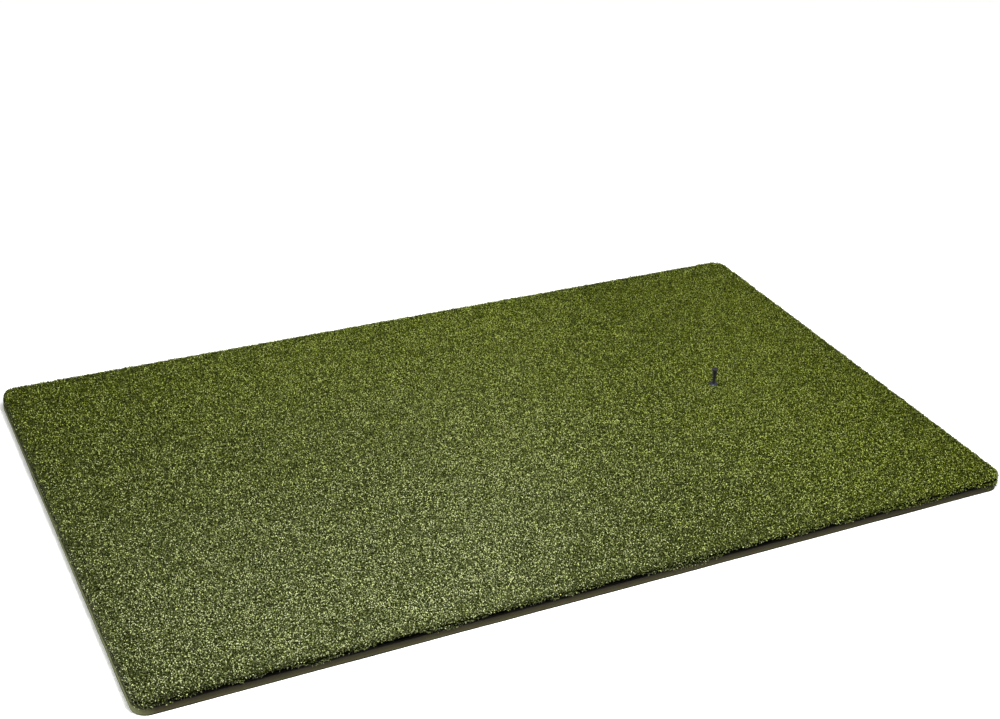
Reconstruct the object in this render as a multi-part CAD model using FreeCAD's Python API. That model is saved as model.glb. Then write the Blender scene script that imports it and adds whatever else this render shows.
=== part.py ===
"""Golf hitting mat: artificial turf bonded to a foam base, with a rubber tee in a push-in holder.

Frame: millimetres, +Z up, origin on the floor under the mat's centre, +X along the long side.

From the floor up the mat is a non-slip rubber skin, a closed-cell foam pad, a film of adhesive,
the latex that locks the tufts, the woven backing that they are stitched through, and the turf
pile. One tee hole is punched through all of it. The tee holder, a flanged sleeve, is pushed up
the hole from below until its flange fills a pocket in the underside. The tee's stem slides in
the holder's bore, which sets the ball's height.
"""

import FreeCAD, Part
import os

# Mat outline.
MAT_LENGTH = 1524.0
MAT_DEPTH = 914.4
CORNER_RADIUS = 25.4

# Layers, from the floor up.
SKIN_THICKNESS = 1.2
FOAM_THICKNESS = 11.0
FILM_THICKNESS = 0.3
LATEX_THICKNESS = 1.2
BACKING_THICKNESS = 1.4
PILE_HEIGHT = 16.65
PILE_EDGE_ROUNDING = 5.0

FOAM_BOTTOM = SKIN_THICKNESS
FILM_BOTTOM = FOAM_BOTTOM + FOAM_THICKNESS
LATEX_BOTTOM = FILM_BOTTOM + FILM_THICKNESS
BACKING_BOTTOM = LATEX_BOTTOM + LATEX_THICKNESS
PILE_BOTTOM = BACKING_BOTTOM + BACKING_THICKNESS
MAT_TOP = PILE_BOTTOM + PILE_HEIGHT

# Tee hole: one foot in from the right-hand end, midway between the front and the back.
HOLE_INSET = 304.8
HOLE_X = MAT_LENGTH / 2 - HOLE_INSET
HOLE_Y = 0.0

# Tee holder, a flanged sleeve that is open at both ends.
HOLDER_HEIGHT = 30.8
SLEEVE_TOP_RADIUS = 8.0
SLEEVE_ROOT_RADIUS = 7.9
SLEEVE_EDGE_ROUNDING = 1.4
ROOT_FILLET = 1.4
FLANGE_RADIUS = 17.0
FLANGE_RIM_THICKNESS = 2.2
FLANGE_ROOT_THICKNESS = 3.4
MOUTH_CHAMFER = 0.5

# Tee, a straight stem that flares to a cup for the ball.
STEM_RADIUS = 2.55
STEM_GRIPPED = 18.0
STEM_STRAIGHT = 12.7
STEM_END_CHAMFER = 0.5
FLARE_HEIGHT = 16.3
CUP_RADIUS = 6.05
CUP_BAND = 1.3
CUP_EDGE_ROUNDING = 0.35
CUP_LAND = 0.55
DISH_DEPTH = 1.7

# Clearances.
STEM_CLEARANCE = 0.05
SLEEVE_CLEARANCE = 0.3
FLANGE_CLEARANCE = 0.3

BORE_RADIUS = STEM_RADIUS + STEM_CLEARANCE
HOLE_RADIUS = SLEEVE_TOP_RADIUS + SLEEVE_CLEARANCE
TEE_BOTTOM = HOLDER_HEIGHT - STEM_GRIPPED

# How far a cutting tool runs past the faces that it opens.
CUT_SPARE = 1.0


def point(radius, height):
    """A point of a profile that is turned about the Z axis."""
    return FreeCAD.Vector(radius, 0, height)


def line(start, end):
    return Part.LineSegment(start, end).toShape()


def arc(start, middle, end):
    return Part.Arc(start, middle, end).toShape()


def quarter_middle(centre, radius, out, up):
    """The middle of a quarter circle about centre; out and up are the signs of its direction."""
    reach = radius * 0.5**0.5
    return centre + FreeCAD.Vector(out * reach, 0, up * reach)


def turned(edges):
    """The solid swept by a closed profile, moved onto the tee hole's axis."""
    face = Part.Face(Part.Wire(edges))
    solid = face.revolve(FreeCAD.Vector(0, 0, 0), FreeCAD.Vector(0, 0, 1), 360)
    solid.translate(FreeCAD.Vector(HOLE_X, HOLE_Y, 0))
    return solid


def rounded_sheet(bottom, thickness):
    """A layer of the mat before its tee hole is punched."""
    corner = FreeCAD.Vector(-MAT_LENGTH / 2, -MAT_DEPTH / 2, bottom)
    block = Part.makeBox(MAT_LENGTH, MAT_DEPTH, thickness, corner)
    upright = [e for e in block.Edges if abs(e.tangentAt(e.FirstParameter).z) > 0.99]
    return block.makeFillet(CORNER_RADIUS, upright)


def hole_cutter():
    """The punch for the tee hole, long enough to pass through every layer."""
    foot = FreeCAD.Vector(HOLE_X, HOLE_Y, -CUT_SPARE)
    return Part.makeCylinder(HOLE_RADIUS, MAT_TOP + 2 * CUT_SPARE, foot)


def pocket_cutter():
    """The hollow that the holder's flange fills, straight at the rim and sloped over its dome."""
    rim = FLANGE_RADIUS + FLANGE_CLEARANCE
    shoulder = FLANGE_RIM_THICKNESS + FLANGE_CLEARANCE
    throat = SLEEVE_ROOT_RADIUS + ROOT_FILLET + FLANGE_CLEARANCE
    crown = FLANGE_ROOT_THICKNESS + ROOT_FILLET + FLANGE_CLEARANCE
    corners = [
        point(0, -CUT_SPARE),
        point(rim, -CUT_SPARE),
        point(rim, shoulder),
        point(throat, crown),
        point(0, crown),
    ]
    return turned([line(a, b) for a, b in zip(corners, corners[1:] + corners[:1])])


def punched_sheet(bottom, thickness):
    return rounded_sheet(bottom, thickness).cut(hole_cutter())


def make_base_skin():
    return punched_sheet(0, SKIN_THICKNESS).cut(pocket_cutter())


def make_foam_pad():
    return punched_sheet(FOAM_BOTTOM, FOAM_THICKNESS).cut(pocket_cutter())


def make_bonding_film():
    return punched_sheet(FILM_BOTTOM, FILM_THICKNESS)


def make_latex_coat():
    return punched_sheet(LATEX_BOTTOM, LATEX_THICKNESS)


def make_primary_backing():
    return punched_sheet(BACKING_BOTTOM, BACKING_THICKNESS)


def make_turf_pile():
    """The space that the tufts fill, rounded over along its top edge."""
    block = rounded_sheet(PILE_BOTTOM, PILE_HEIGHT)
    rim = [e for e in block.Edges if abs(e.BoundBox.ZMin - MAT_TOP) < 0.01]
    return block.makeFillet(PILE_EDGE_ROUNDING, rim).cut(hole_cutter())


def make_tee_holder():
    """A sleeve with a slight draft, standing on a domed flange with a full-round rim."""
    rim_middle = FLANGE_RIM_THICKNESS / 2
    rim_centre = FLANGE_RADIUS - rim_middle
    fillet_out = SLEEVE_ROOT_RADIUS + ROOT_FILLET
    fillet_top = FLANGE_ROOT_THICKNESS + ROOT_FILLET
    fillet_centre = point(fillet_out, fillet_top)
    edge_in = SLEEVE_TOP_RADIUS - SLEEVE_EDGE_ROUNDING
    edge_bottom = HOLDER_HEIGHT - SLEEVE_EDGE_ROUNDING
    edge_centre = point(edge_in, edge_bottom)
    mouth = BORE_RADIUS + MOUTH_CHAMFER

    foot_inner = point(mouth, 0)
    foot_outer = point(rim_centre, 0)
    rim_top = point(rim_centre, FLANGE_RIM_THICKNESS)
    dome_top = point(fillet_out, FLANGE_ROOT_THICKNESS)
    sleeve_root = point(SLEEVE_ROOT_RADIUS, fillet_top)
    sleeve_top = point(SLEEVE_TOP_RADIUS, edge_bottom)
    top_outer = point(edge_in, HOLDER_HEIGHT)
    top_inner = point(mouth, HOLDER_HEIGHT)
    bore_top = point(BORE_RADIUS, HOLDER_HEIGHT - MOUTH_CHAMFER)
    bore_bottom = point(BORE_RADIUS, MOUTH_CHAMFER)
    return turned(
        [
            line(foot_inner, foot_outer),
            arc(foot_outer, point(FLANGE_RADIUS, rim_middle), rim_top),
            line(rim_top, dome_top),
            arc(dome_top, quarter_middle(fillet_centre, ROOT_FILLET, -1, -1), sleeve_root),
            line(sleeve_root, sleeve_top),
            arc(sleeve_top, quarter_middle(edge_centre, SLEEVE_EDGE_ROUNDING, 1, 1), top_outer),
            line(top_outer, top_inner),
            line(top_inner, bore_top),
            line(bore_top, bore_bottom),
            line(bore_bottom, foot_inner),
        ]
    )


def make_tee():
    """A stem that opens as a parabola into the cup, with a shallow dish in its top for the ball."""
    flare_bottom = HOLDER_HEIGHT + STEM_STRAIGHT
    flare_top = flare_bottom + FLARE_HEIGHT
    band_top = flare_top + CUP_BAND
    top = band_top + CUP_EDGE_ROUNDING
    edge_in = CUP_RADIUS - CUP_EDGE_ROUNDING
    edge_centre = point(edge_in, band_top)
    dish_edge = edge_in - CUP_LAND
    dish_radius = (dish_edge**2 + DISH_DEPTH**2) / (2 * DISH_DEPTH)
    dish_centre = top - DISH_DEPTH + dish_radius
    halfway = dish_edge / 2

    foot_centre = point(0, TEE_BOTTOM)
    foot_edge = point(STEM_RADIUS - STEM_END_CHAMFER, TEE_BOTTOM)
    stem_bottom = point(STEM_RADIUS, TEE_BOTTOM + STEM_END_CHAMFER)
    stem_top = point(STEM_RADIUS, flare_bottom)
    cup_bottom = point(CUP_RADIUS, flare_top)
    cup_top = point(CUP_RADIUS, band_top)
    land_outer = point(edge_in, top)
    land_inner = point(dish_edge, top)
    dish_middle = point(halfway, dish_centre - (dish_radius**2 - halfway**2) ** 0.5)
    dish_bottom = point(0, top - DISH_DEPTH)

    # Poles placed so, make the radius grow with the square of the height.
    flare = Part.BezierCurve()
    flare.setPoles([stem_top, point(STEM_RADIUS, flare_bottom + FLARE_HEIGHT / 2), cup_bottom])
    return turned(
        [
            line(foot_centre, foot_edge),
            line(foot_edge, stem_bottom),
            line(stem_bottom, stem_top),
            flare.toShape(),
            line(cup_bottom, cup_top),
            arc(cup_top, quarter_middle(edge_centre, CUP_EDGE_ROUNDING, 1, 1), land_outer),
            line(land_outer, land_inner),
            arc(land_inner, dish_middle, dish_bottom),
            line(dish_bottom, foot_centre),
        ]
    )


NODES = {
    "base_skin": make_base_skin,
    "foam_pad": make_foam_pad,
    "bonding_film": make_bonding_film,
    "latex_coat": make_latex_coat,
    "primary_backing": make_primary_backing,
    "turf_pile": make_turf_pile,
    "tee_holder": make_tee_holder,
    "tee": make_tee,
}

os.makedirs("parts", exist_ok=True)
for name, make in NODES.items():
    shape = make()
    if not shape.isValid() or len(shape.Solids) != 1:
        raise ValueError(f"{name} isn't one valid solid")
    shape.Solids[0].exportStep(f"parts/{name}.step")
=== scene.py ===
"""The looks of a golf hitting mat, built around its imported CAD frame. Metres, in the CAD's own frame.

The turf is modelled yarn by yarn: some 600,000 bent slivers of yarn stand on a dark core, crowd over
the mat's rounded edge and hang there as a ragged fringe. Under it the woven backing, the latex, the
adhesive, the foam and the rubber skin are rebuilt as sheets with hand-cut edges. The tee and its holder
stay as the CAD made them, in moulded rubber.
"""

import math

import bpy
import numpy as np
from mathutils import Euler, Matrix, Vector


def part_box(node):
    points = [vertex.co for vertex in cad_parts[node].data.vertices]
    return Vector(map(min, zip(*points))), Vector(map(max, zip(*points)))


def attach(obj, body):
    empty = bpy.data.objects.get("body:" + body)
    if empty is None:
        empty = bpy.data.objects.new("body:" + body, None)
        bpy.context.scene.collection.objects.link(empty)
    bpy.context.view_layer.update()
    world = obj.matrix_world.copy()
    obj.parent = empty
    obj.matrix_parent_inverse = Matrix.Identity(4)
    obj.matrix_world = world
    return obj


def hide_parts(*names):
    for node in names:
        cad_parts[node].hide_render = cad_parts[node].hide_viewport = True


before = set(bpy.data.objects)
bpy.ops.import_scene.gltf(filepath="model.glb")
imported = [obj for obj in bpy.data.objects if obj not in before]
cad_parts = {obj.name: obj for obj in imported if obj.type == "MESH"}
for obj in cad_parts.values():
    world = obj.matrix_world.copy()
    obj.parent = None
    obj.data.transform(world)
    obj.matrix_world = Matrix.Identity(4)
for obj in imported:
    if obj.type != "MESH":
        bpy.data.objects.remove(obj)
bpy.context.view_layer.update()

# Places from the frame, and the radius of the mat's corners.
PILE_LOW, PILE_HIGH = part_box("turf_pile")
HALF_SIZE = np.array([PILE_HIGH.x, PILE_HIGH.y])
MAT_TOP = PILE_HIGH.z
HOLDER_LOW, HOLDER_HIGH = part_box("tee_holder")
TEE_AXIS = np.array([(HOLDER_LOW.x + HOLDER_HIGH.x) / 2, (HOLDER_LOW.y + HOLDER_HIGH.y) / 2])
FLANGE_RADIUS = (HOLDER_HIGH.x - HOLDER_LOW.x) / 2
CORNER_RADIUS = 0.0254

# Tufts stand on a jittered grid. Each holds a few curls of yarn, which fan out from its middle. The
# tufts differ in height, and so do the curls of one tuft.
TUFT_PITCH = 0.0027
CURLS_PER_TUFT = 3
TUFT_UNEVENNESS = 0.0022
CURL_UNEVENNESS = 0.0022
MEAN_SUNK = 0.42
SUNK_SWELL = 0.16
SUNK_SPREAD = 0.2

# A curl rises to a bend and falls again. Its slopes are in radians, each a mean and a spread, and the
# other ranges are from least to most.
YARN_WIDTH = 0.0013
WIDTH_RANGE = (0.7, 1.15)
CURL_LENGTH = (0.0038, 0.0060)
CURL_SHARES = np.array([0.55, 0.45])
CURL_RISE = (0.95, 0.25)
CURL_FALL = (-0.6, 0.3)
CURL_FAN = (0.0003, 0.0017)

# Shades go from 0, dark, to 1, light. Low curls get painted shade, and some curls a painted glint.
TUFT_SHADE = 0.64
CURL_CONTRAST = 0.36
LOW_CURL_DARKER = 0.60
PAINTED_GLINT_SHARE = 0.14
PAINTED_GLINT_LIGHTER = 0.45

# The tops of the tallest curls lie on the crown, a surface that rounds over the mat's edge and stands a
# little proud of the backing. The whole turf is glued a little to the right.
CROWN_RADIUS = 0.0080
OVERHANG = 0.0008
TURF_SHIFT = 0.0016
HOLE_MARGIN = 0.0010

# The fringe ends lower at some places than at others, and loose ends of yarn hang from it. Their two
# slopes, in radians, and their shade are each a mean and a spread.
FRINGE_DROP = 0.0064
FRINGE_WANDER = 0.0040
FRINGE_AT_ENDS = 0.0110
FRINGE_AT_RIGHT = 0.0050
FRINGE_MOST = 0.0165
STRAY_PITCH = 0.0016
STRAY_LENGTH = (0.0030, 0.0065)
STRAY_SLOPES = ((0.1, 0.4), (-1.9, 0.5))
STRAY_SHADE = (0.46, 0.22)
LOWEST_YARN = 0.0020

# The core is set back under the fringe, below its waist. Painted shadow makes it black there and fades
# out over a short rise.
CORE_DEPTH = 0.0042
CORE_INSET = 0.0005
CORE_FOOT_INSET = 0.0056
CORE_WAIST = 0.0195
BLACK_FADE = 0.0060

# Painted sheen, a pool of pale light, lies on the yarn round the front left corner. Beyond this place,
# going right or back, it fades over the given distance. Loose ends are paler than the rest.
SHEEN_PLACE = np.array([-0.30, -0.45])
SHEEN_FADE = 0.47
STRAYS_PALER = 0.4

# The pile is split into patches, so that each mesh stays small.
PATCHES_X = 7
PATCHES_Y = 4

# The yarn brings its own UV map, of this name. U runs from root to tip. V holds equal bands, from plain
# yarn to yarn with the most painted sheen, and each runs from dark to light.
YARN_UV = "OFBake"
SHEEN_BANDS = 4

random = np.random.default_rng(36)


# Meshes

def add_mesh(name, points, faces, smooth=True):
    """An object from points (n, 3) and faces (m, 3) or (m, 4)."""
    mesh = bpy.data.meshes.new(name)
    mesh.vertices.add(len(points))
    mesh.vertices.foreach_set("co", np.asarray(points, np.float32).ravel())
    mesh.loops.add(faces.size)
    mesh.loops.foreach_set("vertex_index", faces.astype(np.int32).ravel())
    mesh.polygons.add(len(faces))
    mesh.polygons.foreach_set("loop_start", np.arange(0, faces.size, faces.shape[1], dtype=np.int32))
    mesh.update(calc_edges=True)
    if smooth:
        mesh.shade_smooth()
    piece = bpy.data.objects.new(name, mesh)
    bpy.context.scene.collection.objects.link(piece)
    return piece


def ring_faces(rings, sides):
    """Quads between rings of points, with the last ring joined to the first."""
    ring, side = np.meshgrid(np.arange(rings), np.arange(sides), indexing="ij")
    after, beside = (ring + 1) % rings, (side + 1) % sides
    corners = [(ring, side), (ring, beside), (after, beside), (after, side)]
    return np.stack([r * sides + s for r, s in corners], axis=-1).reshape(-1, 4)


def rounded_outline():
    """Points of the mat's outline, anticlockwise, and the outward direction at each."""
    arc_steps, side_step = 14, 0.0045
    centre = HALF_SIZE - CORNER_RADIUS
    points, outward = [], []
    for quarter, sign in enumerate(((1, 1), (-1, 1), (-1, -1), (1, -1))):
        angle = (quarter + np.linspace(0, 1, arc_steps + 1)) * math.pi / 2
        arc = np.stack([np.cos(angle), np.sin(angle)], axis=1)
        points.append(centre * sign + arc * CORNER_RADIUS)
        outward.append(arc)
        length = 2 * (centre[1] if quarter % 2 else centre[0])
        along = np.array([-arc[-1][1], arc[-1][0]])
        steps = int(length / side_step)
        travel = np.linspace(0, length, steps + 1)[1:-1, None]
        points.append(points[-1][-1] + travel * along)
        outward.append(np.repeat(arc[-1:], steps - 1, axis=0))
    return np.concatenate(points), np.concatenate(outward)


OUTLINE, OUTWARD = rounded_outline()
OUTLINE_TRAVEL = np.concatenate([[0], np.cumsum(np.linalg.norm(np.diff(OUTLINE, axis=0), axis=1))])
TO_OUTLINE = (OUTLINE - TEE_AXIS) / np.linalg.norm(OUTLINE - TEE_AXIS, axis=1)[:, None]


def wobble(size, waves, seed):
    """A smooth wandering along the outline, as a knife leaves: sines with random phases."""
    phases = np.random.default_rng(seed).uniform(0, 2 * math.pi, waves)
    turns = OUTLINE_TRAVEL[:, None] / OUTLINE_TRAVEL[-1] * 2 * math.pi
    counts = np.arange(1, waves + 1) * 5
    return size * np.sin(turns * counts + phases).sum(axis=1) / math.sqrt(waves)


def at_height(points, height):
    return np.column_stack([points, np.full(len(points), height)])


def hole_ring(radius, height):
    return at_height(TEE_AXIS + TO_OUTLINE * radius, height)


def edge_ring(inset, height):
    """The outline moved in by inset, one number or one per point."""
    inset = np.broadcast_to(inset, len(OUTLINE))[:, None]
    return at_height(OUTLINE - OUTWARD * inset, height)


def between(first, last, shares):
    return [first + (last - first) * share for share in shares]


def hole_profile(node):
    """(radius, height) of the edges round the tee hole in a CAD node, from the top down."""
    points = np.array([v.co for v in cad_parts[node].data.vertices])
    radius = np.linalg.norm(points[:, :2] - TEE_AXIS, axis=1)
    near = radius < FLANGE_RADIUS * 1.1
    edges = {(round(float(r), 4), round(float(z), 4)) for r, z in zip(radius[near], points[near, 2])}
    return sorted(edges, key=lambda edge: (-edge[1], edge[0]))


HOLE_RADIUS = hole_profile("turf_pile")[0][0]


def make_sheet(name, node, material, inset, bevel, roughness, seed):
    """A layer of the mat with its tee hole, a knife-cut edge and softened corners."""
    low, high = (corner.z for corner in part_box(node))
    profile = hole_profile(node)
    wander = inset + wobble(roughness, 9, seed)
    grain = np.random.default_rng(seed).normal(0, roughness / 3, (3, len(OUTLINE)))
    spread = (0.02, 0.1, 0.3, 0.6, 0.9, 0.99)
    bottom_hole = hole_ring(profile[-1][0], low)
    bottom_edge = edge_ring(wander + bevel, low)
    top_edge = edge_ring(wander + bevel, high)
    top_hole = hole_ring(profile[0][0], high)
    middle = [
        edge_ring(wander + grain[i], low + bevel + (high - low - 2 * bevel) * share)
        for i, share in enumerate((0, 0.5, 1))
    ]
    rings = [
        bottom_hole,
        *between(bottom_hole, bottom_edge, spread),
        bottom_edge,
        *middle,
        top_edge,
        *between(top_edge, top_hole, [1 - share for share in reversed(spread)]),
        *(hole_ring(radius, height) for radius, height in profile[:-1]),
    ]
    piece = add_mesh(name, np.concatenate(rings), ring_faces(len(rings), len(OUTLINE)))
    piece.data.materials.append(material)
    piece.data.set_sharp_from_angle(angle=math.radians(40))
    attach(piece, "mat")
    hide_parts(node)


# Turf

def crown(flat, radius):
    """Wraps a flat sheet over the mat's edge.

    flat holds points of the sheet, which lies level up to the start of the rounding and then bends
    down over it. Gives each point's place on a surface whose highest level is zero, its normal, and
    how far below the rounding it hangs.
    """
    outer = HALF_SIZE + OVERHANG
    corner = CORNER_RADIUS + OVERHANG - radius
    past = np.abs(flat) - (outer - radius - corner)
    outside = np.maximum(past, 0)
    reach = np.linalg.norm(outside, axis=1)
    in_corner = (past > 0).all(axis=1)
    side_on = np.stack([past[:, 0] >= past[:, 1], past[:, 0] < past[:, 1]], axis=1).astype(float)
    direction = np.where(in_corner[:, None], outside / np.maximum(reach, 1e-9)[:, None], side_on)
    travel = np.where(in_corner, reach, past.max(axis=1)) - corner
    bent = np.clip(travel / radius, 0, math.pi / 2)
    hang = np.maximum(travel - radius * math.pi / 2, 0)
    outward = direction * np.sign(flat)
    start = flat - outward * np.maximum(travel, 0)[:, None]
    level = start + outward * (radius * np.sin(bent))[:, None]
    height = -radius * (1 - np.cos(bent)) - hang
    normal = np.column_stack([outward * np.sin(bent)[:, None], np.cos(bent)])
    return np.column_stack([level, height]), normal, hang


def undulation(points, length, seed):
    """Smooth noise over the mat, mostly between -1 and 1, in waves of about the given length."""
    source = np.random.default_rng(seed)
    total = np.zeros(len(points))
    for _ in range(12):
        angle = source.uniform(0, 2 * math.pi)
        wave = 2 * math.pi / (length * source.uniform(0.6, 1.6))
        along = points @ [math.cos(angle) * wave, math.sin(angle) * wave]
        total += np.sin(along + source.uniform(0, 6.3))
    return total / math.sqrt(12)


def closeness(distance, near, far):
    """1 up to the distance near, and falling to 0 at far."""
    return np.clip((far - distance) / (far - near), 0, 1)


def fringe_drop(points):
    """How far the fringe hangs below the crown.

    It's longest on the short sides, except at the front left corner.
    """
    drop = FRINGE_DROP + FRINGE_WANDER * undulation(points[:, :2], 0.12, 5)
    drop += FRINGE_WANDER / 3 * undulation(points[:, :2], 0.03, 6)
    at_end = closeness(HALF_SIZE[0] - np.abs(points[:, 0]), 0.02, 0.06)
    at_right = closeness(HALF_SIZE[0] - points[:, 0], 0.05, 0.17)
    at_front_left = closeness(HALF_SIZE[1] + points[:, 1], 0.02, 0.07) * (points[:, 0] < 0)
    at_sides = FRINGE_AT_ENDS * at_end * (1 - 0.75 * at_front_left) + FRINGE_AT_RIGHT * at_right
    return np.minimum(np.maximum(drop, 0) + at_sides, FRINGE_MOST)


def scatter_tufts():
    """The places of the tufts' tops, and the surface's normals there."""
    half = HALF_SIZE + OVERHANG + CROWN_RADIUS * (math.pi / 2 - 1) + FRINGE_MOST
    counts = np.round(2 * half / TUFT_PITCH).astype(int)
    grid = np.stack(np.meshgrid(*(np.arange(n) for n in counts), indexing="ij"), axis=-1).reshape(-1, 2)
    flat = (grid + random.uniform(0.1, 0.9, grid.shape)) / counts * 2 * half - half
    place, normal, hang = crown(flat, CROWN_RADIUS)
    away = np.linalg.norm(place[:, :2] - TEE_AXIS, axis=1)
    kept = (hang <= fringe_drop(place)) & (away > HOLE_RADIUS)
    place += [TURF_SHIFT, 0, MAT_TOP]
    return place[kept], normal[kept]


def grow(normal, turn, elevations, lengths, sway):
    """Centre lines (n, 3, 3) of curls: root, bend and tip, with the root at zero.

    A curl heads towards turn. On its i-th stretch it slopes by elevations[:, i] against the surface,
    runs for lengths[:, i] and sways aside. Gives the direction across each curl too.
    """
    # A trace of height keeps the heading from lying along a level normal.
    level = np.column_stack([np.cos(turn), np.sin(turn), 0.001 * np.ones(len(turn))])
    ahead = level - normal * (level * normal).sum(axis=1, keepdims=True)
    ahead /= np.linalg.norm(ahead, axis=1, keepdims=True)
    aside = np.cross(normal, ahead)
    swung = sway[:, None] * np.array([-1, 1])
    steps = (
        ahead[:, None] * (np.cos(elevations) * np.cos(swung))[..., None]
        + aside[:, None] * (np.cos(elevations) * np.sin(swung))[..., None]
        + normal[:, None] * np.sin(elevations)[..., None]
    ) * lengths[..., None]
    lines = np.concatenate([np.zeros((len(turn), 1, 3)), np.cumsum(steps, axis=1)], axis=1)
    return lines, aside


def tuft_shades(place, normal, sunk):
    """How light each tuft is, from 0 to 1. sunk is its depth as a share of the most.

    The shade differs at random in fine waves. Lower tufts get painted shade, a slow wave paints light
    and shade across the mat, and painted shade falls off towards its sides, most at the left end. Where
    the pile turns down, and towards the back, painted light makes it lighter at the right end and
    painted shade darker at the left.
    """
    shade = TUFT_SHADE + 0.05 * random.normal(size=len(place)) - 0.15 * (sunk - MEAN_SUNK)
    # The fine wave is the yarn's own uneven tone; the slow wave is painted light and shade.
    shade += 0.035 * undulation(place[:, :2], 0.05, 2) + 0.045 * undulation(place[:, :2], 0.7, 93)
    across, back = place[:, 0] / HALF_SIZE[0], np.clip(place[:, 1] / 0.35, 0, 1)
    from_side = (HALF_SIZE - np.abs(place[:, :2])).min(axis=1)
    from_left = place[:, 0] + HALF_SIZE[0]
    shade -= 0.10 * np.exp(-from_side / 0.02) + 0.07 * np.exp(-from_left / 0.05)
    shade += (0.05 * back + 0.15 * (1 - normal[:, 2])) * across
    return np.maximum(shade, 0.10)


def tuft_curls():
    """Centre lines, directions across and shades of all the curls that stand up in tufts."""
    place, normal = scatter_tufts()
    count = len(place)
    swell = undulation(place[:, :2], 0.020, 1)
    tuft_sunk = np.clip(MEAN_SUNK - SUNK_SWELL * swell + random.normal(0, SUNK_SPREAD, count), 0, 1)
    shade = tuft_shades(place, normal, tuft_sunk)
    turn = random.uniform(0, 2 * math.pi, count)
    tuft = np.repeat(np.arange(count), CURLS_PER_TUFT)
    order = np.tile(np.arange(CURLS_PER_TUFT), count)
    curls = len(tuft)
    turn = turn[tuft] + order * 2 * math.pi / CURLS_PER_TUFT + random.normal(0, 0.5, curls)
    elevations = np.column_stack([random.normal(*CURL_RISE, curls), random.normal(*CURL_FALL, curls)])
    lengths = random.uniform(*CURL_LENGTH, curls)[:, None] * CURL_SHARES
    lines, aside = grow(normal[tuft], turn, elevations, lengths, random.normal(0, 0.5, curls))
    lines -= lines[:, 1:2]
    fanned = random.uniform(*CURL_FAN, curls)[:, None] * np.column_stack([np.cos(turn), np.sin(turn)])
    curl_sunk = random.uniform(0, 1, curls)
    depth = TUFT_UNEVENNESS * tuft_sunk[tuft] + CURL_UNEVENNESS * curl_sunk
    lines += (place[tuft] - normal[tuft] * depth[:, None])[:, None]
    lines[..., :2] += fanned[:, None]
    # Some curls get a painted glint, and low curls painted shade.
    painted_glint = random.uniform(size=curls) < PAINTED_GLINT_SHARE
    shades = shade[tuft] - LOW_CURL_DARKER * curl_sunk + random.normal(0, CURL_CONTRAST, curls)
    return lines, aside, np.clip(shades + PAINTED_GLINT_LIGHTER * painted_glint, 0, 1)


def stray_ends():
    """Loose ends of yarn that hang out of the fringe."""
    count = int(OUTLINE_TRAVEL[-1] / STRAY_PITCH)
    pick = random.integers(0, len(OUTLINE), count)
    outward = np.column_stack([OUTWARD[pick], np.zeros(count)])
    slide = random.uniform(-0.003, 0.003, count)[:, None]
    along = np.column_stack([-OUTWARD[pick][:, 1], OUTWARD[pick][:, 0]])
    height = MAT_TOP - CROWN_RADIUS - fringe_drop(OUTLINE[pick]) + random.uniform(-0.001, 0.003, count)
    root = np.column_stack([OUTLINE[pick] + along * slide - OUTWARD[pick] * 0.0015, height])
    root[:, 0] += TURF_SHIFT
    turn = np.arctan2(OUTWARD[pick][:, 1], OUTWARD[pick][:, 0]) + random.normal(0, 0.9, count)
    up = np.tile([0.0, 0.0, 1.0], (count, 1))
    elevations = np.column_stack([random.normal(*slope, count) for slope in STRAY_SLOPES])
    lengths = random.uniform(*STRAY_LENGTH, count)[:, None] * np.array([0.5, 0.5])
    lines, aside = grow(up, turn, elevations, lengths, random.normal(0, 0.5, count))
    shades = np.clip(random.normal(*STRAY_SHADE, count), 0, 1)
    return lines + root[:, None], aside, shades


def clear_of_hole(lines):
    """Pushes the points of centre lines out of the tee hole."""
    away = lines[..., :2] - TEE_AXIS
    distance = np.linalg.norm(away, axis=-1)
    wanted = np.maximum(distance, HOLE_RADIUS + HOLE_MARGIN)
    lines[..., :2] = TEE_AXIS + away * (wanted / distance)[..., None]


def curl_corners(lines, aside, width):
    """The four corners (n, 4, 3) of each curl: its root, both sides of its bend, and its tip."""
    along = lines[:, 2] - lines[:, 0]
    along /= np.linalg.norm(along, axis=1, keepdims=True)
    across = aside - along * (aside * along).sum(axis=1, keepdims=True)
    across /= np.linalg.norm(across, axis=1, keepdims=True)
    twist = random.normal(0, 0.45, (len(lines), 1))
    across = across * np.cos(twist) + np.cross(along, across) * np.sin(twist)
    half = across * width[:, None] / 2
    return np.stack([lines[:, 0], lines[:, 1] - half, lines[:, 1] + half, lines[:, 2]], axis=1)


def make_patch(name, corners, shade, material):
    """One mesh of many curls, each a bent sliver: a tetrahedron on the four corners."""
    count = len(corners)
    one = np.array([[0, 1, 2], [3, 2, 1], [0, 3, 1], [0, 2, 3]])
    faces = (one[None] + np.arange(count)[:, None, None] * 4).reshape(-1, 3)
    piece = add_mesh(name, corners.reshape(-1, 3), faces)
    along = np.broadcast_to([0.0, 0.5, 0.5, 1.0], (count, 4))
    shades = shade[:, None] + np.broadcast_to([0.004, 0.0, 0.008, 0.004], (count, 4))
    uv = np.stack([along, shades], axis=-1).reshape(-1, 2)
    layer = piece.data.uv_layers.new(name=YARN_UV)
    layer.data.foreach_set("uv", uv[faces.ravel()].astype(np.float32).ravel())
    piece.data.materials.append(material)
    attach(piece, "mat")
    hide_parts("turf_pile")


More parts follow.
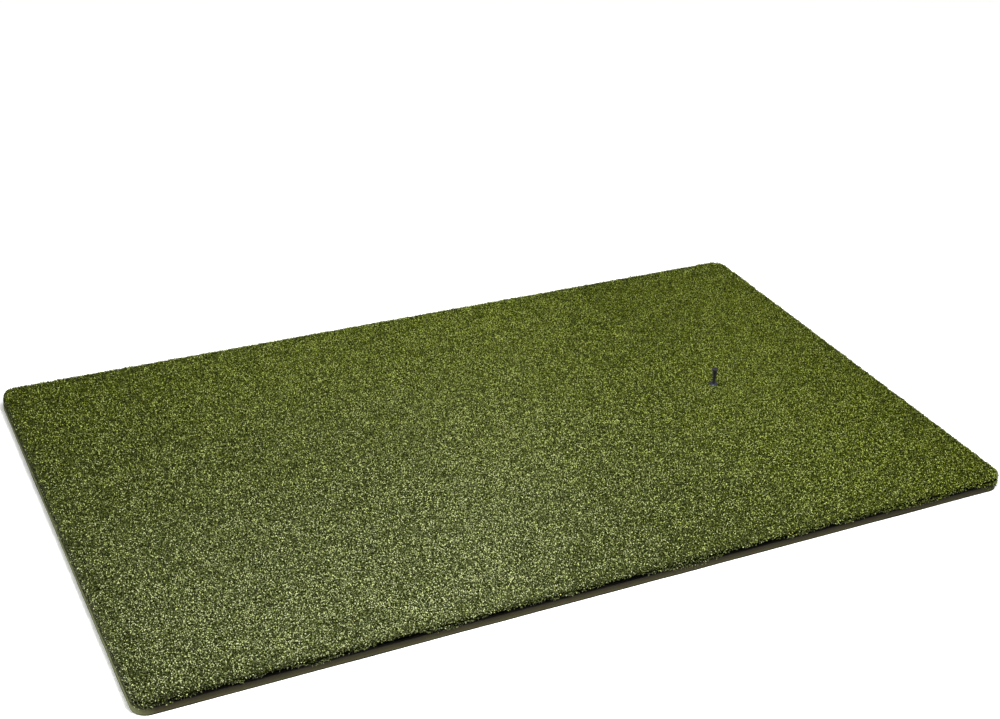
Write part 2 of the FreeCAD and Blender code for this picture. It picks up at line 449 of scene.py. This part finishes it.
def sheen_bands(middle, is_stray):
    """The band of painted sheen, from 0 for plain yarn, at each place (n, 2)."""
    # Painted sheen: a pool of pale light round the front left corner, plus extra paleness on loose
    # ends.
    past = np.maximum(middle - SHEEN_PLACE, 0)
    paleness = np.exp(-(past**2).sum(axis=1) / (2 * SHEEN_FADE**2)) + STRAYS_PALER * is_stray
    sheen = (SHEEN_BANDS - 1) * (1.05 * paleness - 0.05) + random.uniform(-0.6, 0.6, len(middle))
    return np.clip(np.round(sheen), 0, SHEEN_BANDS - 1)


def make_turf(material):
    """All the yarn, cut into patches. Shades keep a little clear of the ends of their bands."""
    tufts, strays = tuft_curls(), stray_ends()
    lines, aside, shade = (np.concatenate(pair) for pair in zip(tufts, strays))
    clear_of_hole(lines)
    lines[..., 2] = np.maximum(lines[..., 2], LOWEST_YARN)
    middle = lines[:, 1, :2]
    is_stray = np.arange(len(lines)) >= len(tufts[0])
    band = sheen_bands(middle, is_stray)
    corners = curl_corners(lines, aside, YARN_WIDTH * random.uniform(*WIDTH_RANGE, len(lines)))
    shade = (band + 0.02 + shade * 0.90) / SHEEN_BANDS
    cell = (middle / HALF_SIZE + 1) / 2 * [PATCHES_X, PATCHES_Y]
    column = np.clip(cell[:, 0].astype(int), 0, PATCHES_X - 1)
    row = np.clip(cell[:, 1].astype(int), 0, PATCHES_Y - 1)
    for index in range(PATCHES_X * PATCHES_Y):
        chosen = row * PATCHES_X + column == index
        make_patch(f"turf_patch_{index + 1:02d}", corners[chosen], shade[chosen], material)


def make_core(material):
    """The crowded lower part of the pile, painted dark as the shade between the curls, set back under
    the fringe.
    """
    top = MAT_TOP - CORE_DEPTH
    round_radius = top - CORE_WAIST
    spread = (0.02, 0.1, 0.3, 0.6, 0.9, 0.97)
    bottom_hole = hole_ring(HOLE_RADIUS, PILE_LOW.z)
    bottom_edge = edge_ring(CORE_FOOT_INSET, PILE_LOW.z)
    waist = edge_ring(CORE_FOOT_INSET, CORE_WAIST - 0.001)
    rounding = [
        edge_ring(CORE_INSET + round_radius * (1 - math.cos(a)), top - round_radius * (1 - math.sin(a)))
        for a in np.linspace(0, math.pi / 2, 6)
    ]
    top_hole = hole_ring(HOLE_RADIUS, top)
    rings = [
        bottom_hole,
        *between(bottom_hole, bottom_edge, spread),
        bottom_edge,
        waist,
        *rounding,
        *between(rounding[-1], top_hole, [1 - share for share in reversed(spread)]),
        top_hole,
    ]
    points = np.concatenate(rings)
    beyond_hole = np.linalg.norm(points[:, :2] - TEE_AXIS, axis=1) > HOLE_RADIUS * 1.5
    points[beyond_hole, 0] += TURF_SHIFT
    piece = add_mesh("pile_core", points, ring_faces(len(rings), len(OUTLINE)))
    piece.data.materials.append(material)
    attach(piece, "mat")
    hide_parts("turf_pile")


# Materials

# Painted light makes the mat's sides pale over a short stretch at its left end.
LEFT_END_LIGHT = (0.072, 0.080, 0.038, 1.0)
LEFT_LIGHT_STRETCH = 0.032


class Nodes:
    """A material's node tree, with short calls to add and join nodes."""

    def __init__(self, name):
        self.material = bpy.data.materials.new(name)
        self.material.use_nodes = True
        self.tree = self.material.node_tree
        self.shader = self.tree.nodes["Principled BSDF"]

    def add(self, kind, inputs=None, **settings):
        node = self.tree.nodes.new("ShaderNode" + kind)
        for key, value in settings.items():
            setattr(node, key, value)
        for key, value in (inputs or {}).items():
            self.feed(node, key, value)
        return node

    def feed(self, node, key, value):
        if isinstance(value, bpy.types.NodeSocket):
            self.tree.links.new(value, node.inputs[key])
        else:
            node.inputs[key].default_value = value

    def set(self, **inputs):
        for key, value in inputs.items():
            self.feed(self.shader, key.replace("_", " "), value)

    def place(self):
        return self.add("TexCoord").outputs["Object"]

    def ramp(self, factor, *stops):
        node = self.add("ValToRGB", {"Fac": factor})
        elements = node.color_ramp.elements
        while len(elements) < len(stops):
            elements.new(1.0)
        for element, (position, colour) in zip(elements, stops):
            element.position = position
            element.color = (*colour, 1.0)
        return node.outputs["Color"]

    def maths(self, operation, first, second=0.0):
        return self.add("Math", {0: first, 1: second}, operation=operation).outputs[0]

    def rise(self, axis, start, end):
        """Goes from 0 to 1 between two places on an axis."""
        along = self.add("SeparateXYZ", {0: self.place()}).outputs[axis]
        inputs = {"Value": along, "From Min": start, "From Max": end}
        return self.add("MapRange", inputs).outputs["Result"]

    def noise(self, scale):
        inputs = {"Vector": self.place(), "Scale": scale, "Detail": 4.0, "Roughness": 0.5}
        return self.add("TexNoise", inputs).outputs["Fac"]

    def cells(self, scale):
        return self.add("TexVoronoi", {"Vector": self.place(), "Scale": scale}).outputs["Distance"]

    def mix(self, factor, first, second, blend="MIX"):
        node = self.add("Mix", data_type="RGBA", blend_type=blend)
        self.feed(node, 0, factor)
        self.feed(node, 6, first)
        self.feed(node, 7, second)
        return node.outputs[2]

    def multiply(self, first, second):
        return self.mix(1.0, first, second, "MULTIPLY")

    def bump(self, height, distance):
        inputs = {"Height": height, "Distance": distance, "Strength": 1.0}
        self.set(Normal=self.add("Bump", inputs).outputs["Normal"])


def yarn_material():
    """Glossy nylon yarn. A painted highlight lies on each curl's bend, its top, and painted shade on
    its ends.
    """
    nodes = Nodes("yarn")
    split = nodes.add("SeparateXYZ", {0: nodes.add("UVMap", uv_map=YARN_UV).outputs["UV"]})
    bands = nodes.maths("MULTIPLY", split.outputs["Y"], SHEEN_BANDS)
    sheen_share = nodes.maths("DIVIDE", nodes.maths("FLOOR", bands), SHEEN_BANDS - 1)
    shade = nodes.maths("FRACT", bands)
    # The sheen tone is the plain tone with painted sheen, a whitish painted light, laid over it.
    plain_tone = nodes.ramp(
        shade,
        (0.0, (0.007, 0.010, 0.001)),
        (0.5, (0.059, 0.077, 0.001)),
        (0.8, (0.188, 0.230, 0.010)),
        (0.95, (0.480, 0.560, 0.125)),
    )
    sheen_tone = nodes.ramp(
        shade,
        (0.0, (0.010, 0.012, 0.003)),
        (0.5, (0.071, 0.087, 0.021)),
        (0.8, (0.223, 0.258, 0.094)),
        (0.95, (0.520, 0.560, 0.285)),
    )
    tone = nodes.mix(sheen_share, plain_tone, sheen_tone)
    # Painted highlight at each curl's bend, its top, and painted shade towards its root and tip.
    depth = nodes.ramp(
        split.outputs["X"],
        (0.0, (0.05, 0.05, 0.05)),
        (0.28, (0.28, 0.28, 0.28)),
        (0.5, (1.35, 1.35, 1.35)),
        (0.72, (0.72, 0.72, 0.72)),
        (1.0, (0.14, 0.14, 0.14)),
    )
    nodes.set(Base_Color=nodes.multiply(tone, depth), Roughness=0.3, Specular_IOR_Level=0.14)
    return nodes.material


def left_end(nodes):
    """Goes from 0 to 1 over the stretch of painted light, to the mat's left end."""
    return nodes.rise("X", LEFT_LIGHT_STRETCH - HALF_SIZE[0], -HALF_SIZE[0])


def core_material():
    """Crowded yarn in painted shade, dark between the curls, with painted shadow that makes it black
    below the fringe.
    """
    nodes = Nodes("pile_core")
    # Both tones are painted shade, far darker than the yarn itself.
    dark, light = (0.008, 0.011, 0.001), (0.020, 0.026, 0.003)
    colour = nodes.ramp(nodes.noise(420.0), (0.3, dark), (0.7, light))
    up = nodes.rise("Z", CORE_WAIST, CORE_WAIST + BLACK_FADE)
    shadow = nodes.ramp(up, (0.0, (0.06, 0.05, 0.04)), (1.0, (1.0, 1.0, 1.0)))
    nodes.set(Base_Color=nodes.multiply(colour, shadow), Roughness=0.9, Specular_IOR_Level=0.0)
    nodes.bump(nodes.noise(600.0), 0.002)
    return nodes.material


def foam_material():
    """Closed-cell foam: olive with fine pores. Painted shade darkens it towards the top, under the
    fringe, and painted light makes it pale at the left end, palest at the bottom.
    """
    nodes = Nodes("foam")
    dark, light = (0.050, 0.043, 0.012), (0.062, 0.054, 0.017)
    tone = nodes.ramp(nodes.noise(18.0), (0.3, dark), (0.7, light))
    pores = nodes.ramp(nodes.cells(900.0), (0.0, (0.6, 0.6, 0.6)), (0.45, (1.0, 1.0, 1.0)))
    up = nodes.rise("Z", *(corner.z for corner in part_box("foam_pad")))
    # Painted shade under the fringe, darkest at the top.
    fringe_shade = nodes.ramp(up, (0.0, (0.85,) * 3), (0.5, (0.4, 0.4, 0.38)), (1.0, (0.12, 0.11, 0.09)))
    # Painted light at the left end, palest at the bottom.
    pale = nodes.ramp(up, (0.0, (2.3, 2.9, 4.4)), (0.5, (1.7, 2.1, 2.9)), (1.0, (1.1, 1.35, 1.5)))
    tint = nodes.mix(left_end(nodes), fringe_shade, pale)
    colour = nodes.multiply(nodes.multiply(tone, pores), tint)
    nodes.set(Base_Color=colour, Roughness=0.9, Specular_IOR_Level=0.2)
    nodes.bump(nodes.cells(900.0), 0.0004)
    return nodes.material


def sheet_material(name, dark, light, scale, roughness, bump):
    """A thin layer of rubber, latex or glue: two cloudy tones, with painted light at the left end."""
    nodes = Nodes(name)
    clean = nodes.ramp(nodes.noise(scale), (0.3, dark), (0.7, light))
    colour = nodes.mix(left_end(nodes), clean, LEFT_END_LIGHT)
    nodes.set(Base_Color=colour, Roughness=roughness, Specular_IOR_Level=0.05)
    nodes.bump(nodes.noise(scale * 4), bump)
    return nodes.material


def weave_material():
    """Woven polypropylene: two sets of flat tapes, with painted light at the left end."""
    nodes = Nodes("weave")
    waves = [
        nodes.add("TexWave", {"Vector": nodes.place(), "Scale": 160.0}, bands_direction=axis)
        for axis in ("X", "Y")
    ]
    height = nodes.maths("MAXIMUM", *(wave.outputs["Fac"] for wave in waves))
    clean = nodes.ramp(height, (0.2, (0.0015, 0.0015, 0.001)), (1.0, (0.006, 0.006, 0.004)))
    colour = nodes.mix(left_end(nodes), clean, LEFT_END_LIGHT)
    nodes.set(Base_Color=colour, Roughness=0.8, Specular_IOR_Level=0.05)
    nodes.bump(height, 0.0003)
    return nodes.material


def rubber_material(name, dark, light, rough, fine):
    """Moulded rubber with a faint bloom and a fine grain."""
    nodes = Nodes(name)
    bloom = nodes.noise(60.0)
    nodes.set(Base_Color=nodes.ramp(bloom, (0.3, dark), (0.75, light)))
    shine = nodes.ramp(nodes.noise(300.0), (0.3, (rough - 0.06,) * 3), (0.7, (rough + 0.06,) * 3))
    nodes.set(Roughness=shine, Specular_IOR_Level=0.3)
    nodes.bump(nodes.noise(fine), 0.00006)
    return nodes.material


def dress_cad(node, material):
    """Gives a CAD node that stays on show its material."""
    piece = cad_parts[node]
    for place in piece.material_slots:
        place.material = material


# Studio

def make_floor():
    """A plain pale floor with a faint, slow change in tone."""
    size, level = 30.0, -0.0002
    corners = np.array([(x * size, y * size, level) for x, y in ((-1, -1), (1, -1), (1, 1), (-1, 1))])
    floor = add_mesh("floor", corners, np.array([[0, 1, 2, 3]]), smooth=False)
    nodes = Nodes("floor")
    tone = nodes.ramp(nodes.noise(0.4), (0.0, (0.90, 0.90, 0.89)), (1.0, (0.93, 0.93, 0.93)))
    nodes.set(Base_Color=tone, Roughness=0.9)
    nodes.set(Emission_Color=(1.0, 1.0, 1.0, 1.0), Emission_Strength=0.33)
    clear = nodes.add("BsdfTransparent").outputs["BSDF"]
    from_below = nodes.add("NewGeometry").outputs["Backfacing"]
    seen = nodes.add("MixShader", {0: from_below, 1: nodes.shader.outputs["BSDF"], 2: clear})
    nodes.feed(nodes.tree.nodes["Material Output"], "Surface", seen.outputs["Shader"])
    floor.data.materials.append(nodes.material)


def add_light(name, kind, place, aim, power, size):
    """A light; size is a disc's diameter, or a sun's angle."""
    light = bpy.data.lights.new(name, kind)
    if kind == "SUN":
        light.angle = size
    else:
        light.shape = "DISK"
        light.size = size
    light.energy = power
    lamp = bpy.data.objects.new(name, light)
    bpy.context.scene.collection.objects.link(lamp)
    lamp.visible_camera = False
    lamp.location = place
    lamp.rotation_euler = (Vector(aim) - Vector(place)).to_track_quat("-Z", "Y").to_euler()
    return lamp


def make_studio():
    """The lights and the world.

    A broad light stands high on the right, a softbox over the front left part of the mat and a low one
    off its left side. One more lights the underside from below the floor, and nothing else. The world
    is white to the camera and gives a faint light from all round.
    """
    centre = (0.0, 0.0, 0.0)
    add_light("broad", "SUN", (1.9, -1.0, 5.0), centre, 1.98, math.radians(24))
    add_light("softbox", "AREA", (-0.26, -0.74, 1.35), (-0.26, -0.32, 0.0), 40.0, 0.6)
    add_light("side", "AREA", (-2.0, -0.6, 0.16), (-0.76, -0.05, 0.0), 16.0, 0.3)
    below = add_light("below", "AREA", (0.5, -0.6, -1.6), (0.3, 0.0, 0.0), 60.0, 1.5)
    underside = bpy.data.collections.new("underside")
    for piece in (*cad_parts.values(), bpy.data.objects["skin_sheet"]):
        underside.objects.link(piece)
    below.light_linking.receiver_collection = underside
    below.light_linking.blocker_collection = underside
    world = bpy.data.worlds.new("studio")
    bpy.context.scene.world = world
    world.use_nodes = True
    nodes, links = world.node_tree.nodes, world.node_tree.links
    background = nodes["Background"]
    seen = nodes.new("ShaderNodeLightPath").outputs["Is Camera Ray"]
    strength = nodes.new("ShaderNodeMapRange")
    strength.inputs["To Min"].default_value = 0.14
    strength.inputs["To Max"].default_value = 1.0
    links.new(seen, strength.inputs["Value"])
    links.new(strength.outputs["Result"], background.inputs["Strength"])
    background.inputs["Color"].default_value = (1.0, 1.0, 1.0, 1.0)


def make_camera():
    """A camera that looks down from beyond the front left corner, rolled a little anticlockwise."""
    place = Vector((-1.1249, -2.1917, 1.5328))
    aim = Vector((0.1491, 0.2768, 0.0))
    roll = math.radians(2.947)
    data = bpy.data.cameras.new("camera")
    data.lens = 59.0
    camera = bpy.data.objects.new("camera", data)
    bpy.context.scene.collection.objects.link(camera)
    look = (aim - place).to_track_quat("-Z", "Y").to_matrix().to_4x4()
    camera.matrix_world = Matrix.Translation(place) @ look @ Euler((0, 0, roll)).to_matrix().to_4x4()
    bpy.context.scene.camera = camera


make_turf(yarn_material())
make_core(core_material())
make_sheet(
    "foam_sheet", "foam_pad", foam_material(),
    inset=0.0006, bevel=0.0008, roughness=0.0003, seed=11,
)
make_sheet(
    "skin_sheet", "base_skin",
    sheet_material("skin", (0.012, 0.012, 0.011), (0.022, 0.022, 0.020), 90.0, 0.7, 0.0002),
    inset=0.0004, bevel=0.0003, roughness=0.0002, seed=12,
)
# The adhesive, latex and backing are dark, and their tones are made darker still as painted shade under
# the fringe.
make_sheet(
    "adhesive_sheet", "bonding_film",
    sheet_material("adhesive", (0.004, 0.0035, 0.002), (0.008, 0.007, 0.004), 70.0, 0.6, 0.0002),
    inset=0.0026, bevel=0.0001, roughness=0.0004, seed=13,
)
make_sheet(
    "latex_sheet", "latex_coat",
    sheet_material("latex", (0.002, 0.002, 0.0015), (0.005, 0.005, 0.004), 110.0, 0.8, 0.0003),
    inset=0.0028, bevel=0.0003, roughness=0.0005, seed=14,
)
make_sheet(
    "backing_sheet", "primary_backing", weave_material(),
    inset=0.0024, bevel=0.0003, roughness=0.0006, seed=15,
)
dress_cad(
    "tee",
    rubber_material("tee_rubber", (0.008, 0.0075, 0.010), (0.013, 0.012, 0.016), 0.42, 2500.0),
)
dress_cad(
    "tee_holder",
    rubber_material("holder_rubber", (0.013, 0.016, 0.028), (0.022, 0.026, 0.042), 0.38, 1800.0),
)
make_floor()
make_studio()
make_camera()
bpy.context.scene.view_settings.view_transform = "Standard"
